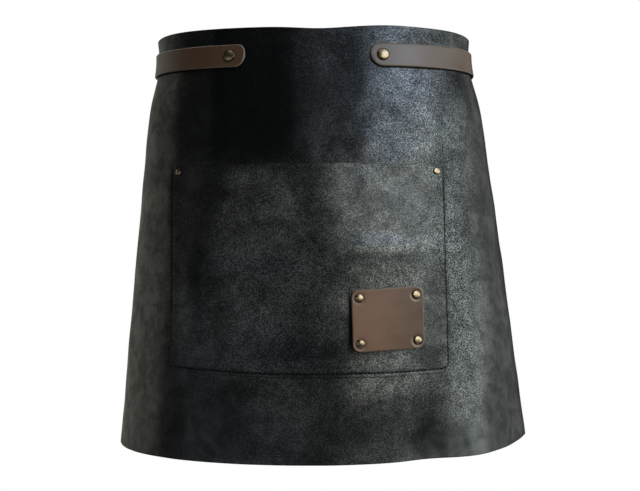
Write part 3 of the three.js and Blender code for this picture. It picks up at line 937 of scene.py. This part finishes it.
def seam_path():
    """Points along the seam in the flat pocket: down one side, along the bottom and up the other side."""
    side = POCKET_HALF_WIDTH - STITCH_INSET
    bottom = POCKET_BOTTOM + STITCH_INSET
    turn = POCKET_CORNER - STITCH_INSET
    quarter = np.linspace(0, math.pi / 2, SEAM_CORNER_POINTS)
    corner_x = side - turn + turn * np.sin(quarter)
    corner_level = bottom + turn - turn * np.cos(quarter)
    half_x = np.concatenate([[0], corner_x, [side]])
    half_level = np.concatenate([[bottom], corner_level, [POCKET_MOUTH - SEAM_TOP_GAP]])
    return np.concatenate([-half_x[:0:-1], half_x]), np.concatenate([half_level[:0:-1], half_level])


path_x, path_level = seam_path()
path_steps = np.hypot(np.diff(path_x), np.diff(path_level))
path_length = np.concatenate([[0], np.cumsum(path_steps)])
print("length of the seam in mm:", mm(path_length[-1]))

# %% Sew the seam
STITCH_PITCH = 0.0042
STITCH_LENGTH = 0.0033
THREAD = 0.0014
STITCH_SINK = 0.0002
STITCH_SIDES = 8
STITCH_RINGS = 5

stitch_count = int(path_length[-1] / STITCH_PITCH)
stitch_size = Matrix.Diagonal((STITCH_LENGTH / 2, THREAD / 2, THREAD / 2, 1))
stitching_bm = bmesh.new()
for stitch in range(stitch_count):
    middle = (stitch + 1 / 2) * path_length[-1] / stitch_count
    ends = np.array([middle - STITCH_LENGTH / 2, middle, middle + STITCH_LENGTH / 2])
    x = np.interp(ends, path_length, path_x)
    level = np.interp(ends, path_length, path_level)
    start, centre, end = (Vector(point) for point in pocket_top(x, level))
    forward = (end - start).normalized()
    outward = facing(pocket_top, x[1], level[1])
    sideways = outward.cross(forward)
    turn = Matrix((forward, sideways, outward)).transposed().to_4x4()
    bmesh.ops.create_uvsphere(
        stitching_bm,
        u_segments=STITCH_SIDES,
        v_segments=STITCH_RINGS,
        radius=1,
        matrix=Matrix.Translation(centre - STITCH_SINK * outward) @ turn @ stitch_size,
    )
stitching = make_piece("pocket_stitching", stitching_bm, None)
print(stitch_count, "stitches")

# %% [markdown]
# ## Finishes
# A finish is a shader and a few patterns that feed it. Every pattern here reads Object coordinates in
# metres, so its scale is a real one: a noise of scale 1000 has grains of about a millimetre. A small class
# keeps the node wiring out of the way, and each finish then reads as a recipe.

# %% A class for recipes of nodes
MID_COLOUR = (0.5, 0.5, 0.5)
MIX_FIRST, MIX_SECOND = 6, 7
MIX_RESULT = 2


class Finish:
    """A material, with short ways to add the patterns that its look is made of."""

    def __init__(self, name, **sockets):
        self.material = bpy.data.materials.new(name)
        self.material.use_nodes = True
        self.tree = self.material.node_tree
        self.shader = self.tree.nodes["Principled BSDF"]
        self.place = self.tree.nodes.new("ShaderNodeTexCoord").outputs["Object"]
        for socket, value in sockets.items():
            self.shader.inputs[socket.replace("_", " ")].default_value = value

    def node(self, kind, inputs, **settings):
        """One node, whose inputs are plain values or the outputs of other nodes."""
        made = self.tree.nodes.new(kind)
        for setting, value in settings.items():
            setattr(made, setting, value)
        for key, value in inputs.items():
            if isinstance(value, bpy.types.NodeSocket):
                self.tree.links.new(value, made.inputs[key])
            else:
                made.inputs[key].default_value = value
        return made

    def noise(self, scale, detail, rough, warp=0.0):
        inputs = {
            "Vector": self.place,
            "Scale": scale,
            "Detail": detail,
            "Roughness": rough,
            "Distortion": warp,
        }
        return self.node("ShaderNodeTexNoise", inputs).outputs[0]

    def cells(self, scale):
        """Small cells: the distance from the middle of each, and three random numbers as a colour."""
        made = self.node("ShaderNodeTexVoronoi", {"Vector": self.place, "Scale": scale})
        return made.outputs["Distance"], made.outputs["Color"]

    def channel(self, colour, name):
        return self.node("ShaderNodeSeparateColor", {"Color": colour}).outputs[name]

    def kept(self, name):
        return self.node("ShaderNodeAttribute", {}, attribute_name=name).outputs["Fac"]

    def ramp(self, value, low, high, start=0.0, end=1.0):
        """The value's stretch from low to high, spread from start to end."""
        inputs = {"Value": value, "From Min": low, "From Max": high, "To Min": start, "To Max": end}
        return self.node("ShaderNodeMapRange", inputs, interpolation_type="SMOOTHSTEP").outputs[0]

    def sum(self, first, second, share=1.0):
        inputs = {0: second, 1: share, 2: first}
        return self.node("ShaderNodeMath", inputs, operation="MULTIPLY_ADD").outputs[0]

    def product(self, first, second):
        return self.node("ShaderNodeMath", {0: first, 1: second}, operation="MULTIPLY").outputs[0]

    def blend(self, first, second, share):
        """The first pattern's share, and the rest from the second one."""
        return self.sum(self.product(first, share), second, share=1 - share)

    def tint(self, amount, first, second):
        """A colour between two others."""
        inputs = {0: amount, MIX_FIRST: first, MIX_SECOND: second}
        return self.node("ShaderNodeMix", inputs, data_type="RGBA").outputs[MIX_RESULT]

    def vector(self, operation, *inputs):
        numbered = dict(enumerate(inputs))
        return self.node("ShaderNodeVectorMath", numbered, operation=operation).outputs[0]

    def tilted(self, flakes, tilt):
        """The surface's own facing, turned a little and differently in each flake."""
        own = self.node("ShaderNodeNewGeometry", {}).outputs["Normal"]
        lean = self.vector("SUBTRACT", flakes, MID_COLOUR)
        return self.vector("NORMALIZE", self.vector("MULTIPLY_ADD", lean, (tilt, tilt, tilt), own))

    def feed(self, socket, value):
        self.tree.links.new(value, self.shader.inputs[socket])

    def relief(self, height, depth, facing=None):
        inputs = {"Height": height, "Distance": depth}
        if facing:
            inputs["Normal"] = facing
        self.feed("Normal", self.node("ShaderNodeBump", inputs).outputs[0])


# %% [markdown]
# Cut edges, flesh sides and thread are plain next to the front of the leather. One fine noise, like their
# fibres, is enough to give each of them its colour, its roughness and its relief.

# %% A plain finish of fibres
FIBRE_LOW = 0.3
FIBRE_HIGH = 0.7


def grey(level, warmth=0.0):
    """A dark neutral colour, warmer or cooler by a share."""
    return (level * (1 + warmth), level, level * (1 - warmth), 1)


def fibrous(name, gloss, scale, detail, rough, shades, dullness, depth=0):
    """A finish from one noise of fibres, between two shades and two roughnesses."""
    finish = Finish(name, Specular_IOR_Level=gloss)
    fibres = finish.noise(scale, detail, rough)
    finish.feed("Base Color", finish.tint(fibres, *shades))
    finish.feed("Roughness", finish.ramp(fibres, FIBRE_LOW, FIBRE_HIGH, *dullness))
    if depth:
        finish.relief(fibres, depth)
    return finish.material


def dress(piece, *layers):
    """Gives a piece its materials, in the order of its layers."""
    for layer in layers:
        piece.data.materials.append(layer)
    print(piece.name, "in", [layer.name for layer in layers])


# %% [markdown]
# ### Black waxed leather
# The hide is dyed black and rubbed with wax. The leather itself hardly gives any light back: what shows is
# the shine of the wax, and the wax has worn into fine, pale flecks. So the base stays almost black and dull,
# and the wax is the shader's coat, strong on the flecks and thin between them. The flecks then shine where
# light falls on the leather and go dark with it, as real ones do. Slow clouds make some stretches smoother
# than others.

# %% Black leather
BLACK_HIDE = grey(0.0018, -0.04)
BLACK_WEAR_AND_SHEEN = grey(0.0045, -0.04)
HIDE_GLOSS = 0.06
WAX_ROUGHNESS = 0.29
WAX_IOR = 2.3
GRAIN_SCALE = 1600
EDGE_LINE = 0.0014
FLECK_MEAN = 0.225
FLECK_STRENGTH = 1.4
WAX_BETWEEN_FLECKS = 0.48
WORN_WAX = 0.48
CLOUD_WAX = 0.46
CALM_RELIEF = 0.3
PEBBLE_DEPTH = 0.12


def black_leather():
    finish = Finish(
        "black_waxed_leather",
        Coat_Roughness=WAX_ROUGHNESS,
        Coat_IOR=WAX_IOR,
        Specular_IOR_Level=HIDE_GLOSS,
    )
    clouds = finish.noise(scale=40, detail=4, rough=0.6, warp=0.7)
    patches = finish.noise(scale=100, detail=3, rough=0.6, warp=0.5)
    pebbles, flakes = finish.cells(GRAIN_SCALE)
    wear = finish.ramp(finish.blend(clouds, patches, share=0.65), low=0.38, high=0.62)
    shine = finish.ramp(finish.channel(flakes, "Red"), low=0.35, high=1.0)
    flecks = finish.product(shine, finish.ramp(pebbles, low=0.3, high=0.7, start=1.0, end=0.4))
    contrast = finish.product(finish.sum(-FLECK_MEAN, flecks), FLECK_STRENGTH)
    speckle = finish.sum(WAX_BETWEEN_FLECKS, finish.product(contrast, finish.kept("flecks")))
    edge = finish.ramp(finish.kept("inset"), low=0.0, high=EDGE_LINE, start=0.6, end=1.0)
    # the wax's shine carries wear and also painted highlights and painted shade
    wear_and_painted_shine = finish.product(finish.sum(WORN_WAX, wear, share=CLOUD_WAX), finish.kept("shine"))
    wax = finish.product(finish.product(speckle, wear_and_painted_shine), edge)
    finish.feed("Coat Weight", wax)
    # the base is a little lighter where the wax shines: wear and painted sheen
    finish.feed("Base Color", finish.tint(wax, BLACK_HIDE, BLACK_WEAR_AND_SHEEN))
    dull = finish.ramp(finish.kept("shine"), low=0.0, high=0.3, start=0.45, end=0.0)
    matt = finish.ramp(wear, low=0.0, high=1.0, start=0.55, end=0.46)
    finish.feed("Roughness", finish.sum(dull, matt))
    lively = finish.sum(CALM_RELIEF, finish.kept("flecks"), share=1 - CALM_RELIEF)
    grain = finish.product(finish.sum(patches, pebbles, share=-PEBBLE_DEPTH), lively)
    finish.relief(grain, depth=0.0003, facing=finish.tilted(flakes, tilt=0.07))
    return finish.material


print("wax roughness", WAX_ROUGHNESS)

# %% Flesh side and cut edge of the black leather
FLESH_SHADES = (grey(0.012), grey(0.05, 0.08))


def black_flesh():
    finish = Finish("black_flesh_side", Specular_IOR_Level=0.2)
    fibres = finish.noise(scale=1800, detail=4, rough=0.7)
    stains = finish.noise(scale=35, detail=4, rough=0.6)
    shade = finish.ramp(finish.blend(fibres, stains, share=0.5), low=0.35, high=0.65)
    finish.feed("Base Color", finish.tint(shade, *FLESH_SHADES))
    finish.feed("Roughness", finish.ramp(fibres, FIBRE_LOW, FIBRE_HIGH, start=0.85, end=0.98))
    finish.relief(fibres, depth=0.0004)
    return finish.material


black_edge = fibrous(
    "black_cut_edge",
    gloss=0.4,
    scale=1500,
    detail=3,
    rough=0.6,
    shades=(grey(0.003), grey(0.012, 0.1)),
    dullness=(0.35, 0.5),
    depth=0.0002,
)
black_layers = [black_leather(), black_flesh(), black_edge]
dress(panel, *black_layers)
dress(pocket, *black_layers)

# %% [markdown]
# ### Brown leather
# The straps and the patch are smooth, oiled leather. Its pores are fine, its colour drifts a little, and the
# cut edges are rubbed smooth. Their rounded fronts are lighter, partly as a paler cut edge and partly as a
# painted highlight, and their side walls are dark edge paint, darkened further as painted shade. The patch
# is a lighter cut than the straps.

# %% Brown leather
STRAP_SHADES = ((0.082, 0.038, 0.016, 1), (0.130, 0.062, 0.027, 1))
PATCH_SHADES = ((0.098, 0.053, 0.033, 1), (0.230, 0.126, 0.080, 1))
STRAP_EDGE_TONE_AND_HIGHLIGHT = (0.15, 0.105, 0.08, 1)
PATCH_EDGE_TONE_AND_HIGHLIGHT = (0.24, 0.165, 0.12, 1)
PAINTED_DIMPLE_HIGHLIGHT = (0.46, 0.36, 0.28, 1)
STRAP_GLOSS = 0.8
PATCH_GLOSS = 0.2
DRIFT_SHARE = 0.5
TONE_SHARE = 0.6
PORE_SHARE = 0.3


def brown_leather(name, shades, edge_tone_and_highlight, gloss):
    finish = Finish(name, Specular_IOR_Level=gloss)
    drift = finish.noise(scale=45, detail=4, rough=0.6)
    pores = finish.noise(scale=1100, detail=3, rough=0.6)
    tone = finish.sum(finish.product(drift, DRIFT_SHARE), finish.kept("tone"), share=TONE_SHARE)
    face = finish.tint(finish.ramp(tone, low=0.1, high=0.85), *shades)
    # the rounded edge is lighter: partly a paler cut edge, partly a painted highlight
    wear_and_painted_highlight = finish.ramp(finish.kept("edge"), low=0.0, high=0.2)
    edged = finish.tint(wear_and_painted_highlight, face, edge_tone_and_highlight)
    # painted highlight on the patch's dimple walls
    finish.feed("Base Color", finish.tint(finish.kept("wear_and_painted_highlight"), edged, PAINTED_DIMPLE_HIGHLIGHT))
    uneven = finish.sum(drift, pores, share=PORE_SHARE)
    finish.feed("Roughness", finish.ramp(uneven, low=0.4, high=0.9, start=0.34, end=0.44))
    finish.relief(pores, depth=0.00012)
    return finish.material


strap_front = brown_leather("strap_brown_leather", STRAP_SHADES, STRAP_EDGE_TONE_AND_HIGHLIGHT, STRAP_GLOSS)
patch_front = brown_leather("patch_brown_leather", PATCH_SHADES, PATCH_EDGE_TONE_AND_HIGHLIGHT, PATCH_GLOSS)
print(strap_front.name, patch_front.name)

# %% Flesh side, and dark edge with painted shade, of the brown leather
brown_flesh = fibrous(
    "brown_flesh_side",
    gloss=0.2,
    scale=1600,
    detail=4,
    rough=0.7,
    shades=((0.07, 0.042, 0.026, 1), (0.16, 0.10, 0.066, 1)),
    dullness=(0.85, 0.98),
    depth=0.0003,
)
# the side walls: dark edge paint, darkened further as painted shade
brown_edge_and_shade = fibrous(
    "brown_edge_paint_and_shade",
    gloss=0.12,
    scale=700,
    detail=3,
    rough=0.6,
    shades=((0.006, 0.0035, 0.0025, 1), (0.016, 0.010, 0.007, 1)),
    dullness=(0.3, 0.45),
    depth=0.0001,
)
for strap in straps.values():
    dress(strap, strap_front, brown_flesh, brown_edge_and_shade)
dress(patch, patch_front, brown_flesh, brown_edge_and_shade)

# %% [markdown]
# ### Brass and thread
# The rivets are old brass: bright on the dome, browner where it has tarnished, and dark round the rim of the
# dome, partly from tarnish and partly as painted shade. The thread is waxed black polyester with a fine
# twist.

# %% Brass and black thread
DARK_BRASS = (0.23, 0.16, 0.095, 1)
BRIGHT_BRASS = (0.50, 0.39, 0.25, 1)
RIM_TARNISH_AND_SHADE = (0.045, 0.028, 0.017, 1)
SCRATCH_SHARE = 0.4


def old_brass():
    finish = Finish("old_brass", Metallic=1.0)
    tarnish = finish.noise(scale=260, detail=4, rough=0.65)
    scratches = finish.noise(scale=2500, detail=2, rough=0.5)
    dome = finish.tint(tarnish, DARK_BRASS, BRIGHT_BRASS)
    # dark rim of the dome: partly tarnish, partly painted shade
    rim = finish.ramp(finish.kept("edge"), low=0.72, high=0.95)
    finish.feed("Base Color", finish.tint(rim, dome, RIM_TARNISH_AND_SHADE))
    wear_and_painted_highlight = finish.sum(tarnish, scratches, share=SCRATCH_SHARE)
    finish.feed("Roughness", finish.ramp(wear_and_painted_highlight, low=0.4, high=1.0, start=0.32, end=0.20))
    finish.relief(scratches, depth=0.00003)
    return finish.material


brass = old_brass()
for rivet in rivets:
    dress(rivet, brass)
black_thread = fibrous(
    "black_thread",
    gloss=0.05,
    scale=2200,
    detail=2,
    rough=0.5,
    shades=(grey(0.002), grey(0.008)),
    dullness=(0.5, 0.7),
)
dress(stitching, black_thread)

# %% [markdown]
# ## The sheets
# The panel and the pocket are sheets that were cut flat, so their flat sizes are stated for whoever cuts
# them again. Their widths are known from the cut. The worn leather slopes outwards, so its length is
# measured down the slope of its middle line.

# %% State the flat cuts
DROP_STEPS = 80


def length_of(points):
    return float(np.linalg.norm(np.diff(points, axis=0), axis=1).sum())


middle_line = np.zeros(DROP_STEPS)
panel_drop = np.linspace(PANEL_TOP, PANEL_HEM, DROP_STEPS)
panel_length = length_of(panel_point(middle_line, panel_drop, 0))
pocket_drop = np.linspace(POCKET_MOUTH, POCKET_BOTTOM, DROP_STEPS)
pocket_length = length_of(pocket_face(middle_line, pocket_drop))
print("flat lengths in mm: panel", mm(panel_length), "and pocket", mm(pocket_length))

# %% [markdown]
# ## Studio
# The photograph is lit by one wide, cool window to the right of the camera. The left side is almost unlit
# and only takes a dull shine along its very edge. The background is white. The floor is pale under the apron
# and runs out to white, and only the camera sees it, so it doesn't lighten the black leather.

# %% Floor
FLOOR_Z = -1.05
FLOOR_RADIUS = 40
FLOOR_SIDES = 96
FLOOR_NEAR = 1.2
FLOOR_FAR = 3.0
FLOOR_COLOUR = (0.8, 0.8, 0.8, 1)
FLOOR_ROUGHNESS = 0.9
WHITE = (1, 1, 1, 1)

floor_bm = bmesh.new()
bmesh.ops.create_circle(floor_bm, cap_ends=True, segments=FLOOR_SIDES, radius=FLOOR_RADIUS)
bmesh.ops.translate(floor_bm, vec=OUT * FLOOR_Z, verts=floor_bm.verts)
floor_mesh = bpy.data.meshes.new("floor")
floor_bm.to_mesh(floor_mesh)
floor_bm.free()
floor = bpy.data.objects.new("floor", floor_mesh)
bpy.context.scene.collection.objects.link(floor)
floor.visible_diffuse = False
floor.visible_glossy = False

pale = Finish("pale_floor", Base_Color=FLOOR_COLOUR, Roughness=FLOOR_ROUGHNESS)
distance = pale.node("ShaderNodeVectorMath", {0: pale.place}, operation="LENGTH").outputs["Value"]
white = pale.node("ShaderNodeEmission", {"Color": WHITE, "Strength": 1.0}).outputs[0]
run_out = {0: pale.ramp(distance, FLOOR_NEAR, FLOOR_FAR), 1: pale.shader.outputs[0], 2: white}
surface = pale.node("ShaderNodeMixShader", run_out).outputs[0]
pale.tree.links.new(surface, pale.tree.nodes["Material Output"].inputs["Surface"])
dress(floor, pale.material)

# %% Background that is white to the camera and dim to the leather
AMBIENT = 0.02
AMBIENT_COLOUR = (1, 1, 0.96, 1)

world = bpy.data.worlds.new("studio")
world.use_nodes = True
bpy.context.scene.world = world
sky = world.node_tree.nodes
backdrop = sky["Background"]
backdrop.inputs["Color"].default_value = WHITE
backdrop.inputs["Strength"].default_value = 1.0
dim = sky.new("ShaderNodeBackground")
dim.inputs["Color"].default_value = AMBIENT_COLOUR
dim.inputs["Strength"].default_value = AMBIENT
choose = sky.new("ShaderNodeMixShader")
seen = sky.new("ShaderNodeLightPath").outputs["Is Camera Ray"]
for number, output in enumerate([seen, dim.outputs[0], backdrop.outputs[0]]):
    world.node_tree.links.new(output, choose.inputs[number])
world.node_tree.links.new(choose.outputs[0], sky["World Output"].inputs["Surface"])
bpy.context.scene.view_settings.view_transform = "Standard"
print("ambient", AMBIENT)

# %% [markdown]
# The window, the walls and the sill are soft boxes round the apron. A row of the table says which stretch of
# directions a box fills, in degrees to the right of the camera and in degrees above level, and then how
# bright it looks and its colour. From these the lamp's size, place and power follow.

# %% Lights
AIM = Vector((0, -0.1, -0.18))
LIGHT_DISTANCE = 2.4
SoftBox = namedtuple("SoftBox", "name bearings elevations radiance colour")
LIGHTS = [
    SoftBox("sky", (18, 62), (27, 50), 4.0, (0.65, 0.80, 1.0)),
    SoftBox("garden", (11, 62), (9, 27), 3.1, (0.95, 1.0, 0.90)),
    SoftBox("side_foot", (62, 102), (-6, 13), 2.6, (0.89, 1.0, 0.96)),
    SoftBox("side_low", (62, 90), (13, 24), 2.4, (0.84, 0.99, 1.0)),
    SoftBox("side_fade", (90, 106), (13, 26), 1.1, (0.87, 1.0, 0.99)),
    SoftBox("side_high", (62, 92), (24, 45), 1.5, (0.75, 0.87, 1.0)),
    SoftBox("right_wall", (92, 145), (-12, 22), 0.6, (0.95, 1.0, 0.95)),
    SoftBox("low_right", (20, 62), (-12, 9), 0.6, (0.88, 1.0, 0.98)),
    SoftBox("front_sill", (-62, -8), (8, 17), 0.62, (1.0, 1.0, 1.0)),
    SoftBox("low_front", (-75, -6), (-15, 8), 0.33, (0.80, 0.96, 1.05)),
    SoftBox("left_wall", (-175, -95), (-15, 35), 0.40, (1.0, 1.0, 0.87)),
    SoftBox("overhead", (-50, 70), (55, 85), 0.6, (0.9, 0.95, 1.0)),
    SoftBox("floor", (-50, 70), (-75, -40), 0.9, (1.0, 0.98, 0.96)),
    SoftBox("behind", (140, 220), (35, 70), 4.0, (1.0, 1.0, 1.0)),
]


def middle_and_half(stretch):
    """The middle of a stretch of degrees and half of its width, in radians."""
    low, high = stretch
    return math.radians(sum(stretch) / 2), math.radians(high - low) / 2


def soft_light(box):
    """A lamp that fills its stretch of directions and looks equally bright from any distance."""
    bearing, half_turn = middle_and_half(box.bearings)
    rise, half_rise = middle_and_half(box.elevations)
    turn = bearing + CAMERA_TURN
    outward = Vector((math.sin(turn) * math.cos(rise), -math.cos(turn) * math.cos(rise), math.sin(rise)))
    lamp = bpy.data.lights.new(box.name, "AREA")
    lamp.shape = "RECTANGLE"
    lamp.size = 2 * LIGHT_DISTANCE * math.tan(half_turn) * math.cos(rise)
    lamp.size_y = 2 * LIGHT_DISTANCE * math.tan(half_rise)
    lamp.energy = math.pi * box.radiance * lamp.size * lamp.size_y
    lamp.color = box.colour
    stand_off(box.name, lamp, AIM, outward, LIGHT_DISTANCE).visible_camera = False


for box in LIGHTS:
    soft_light(box)
print(len(LIGHTS), "lights")
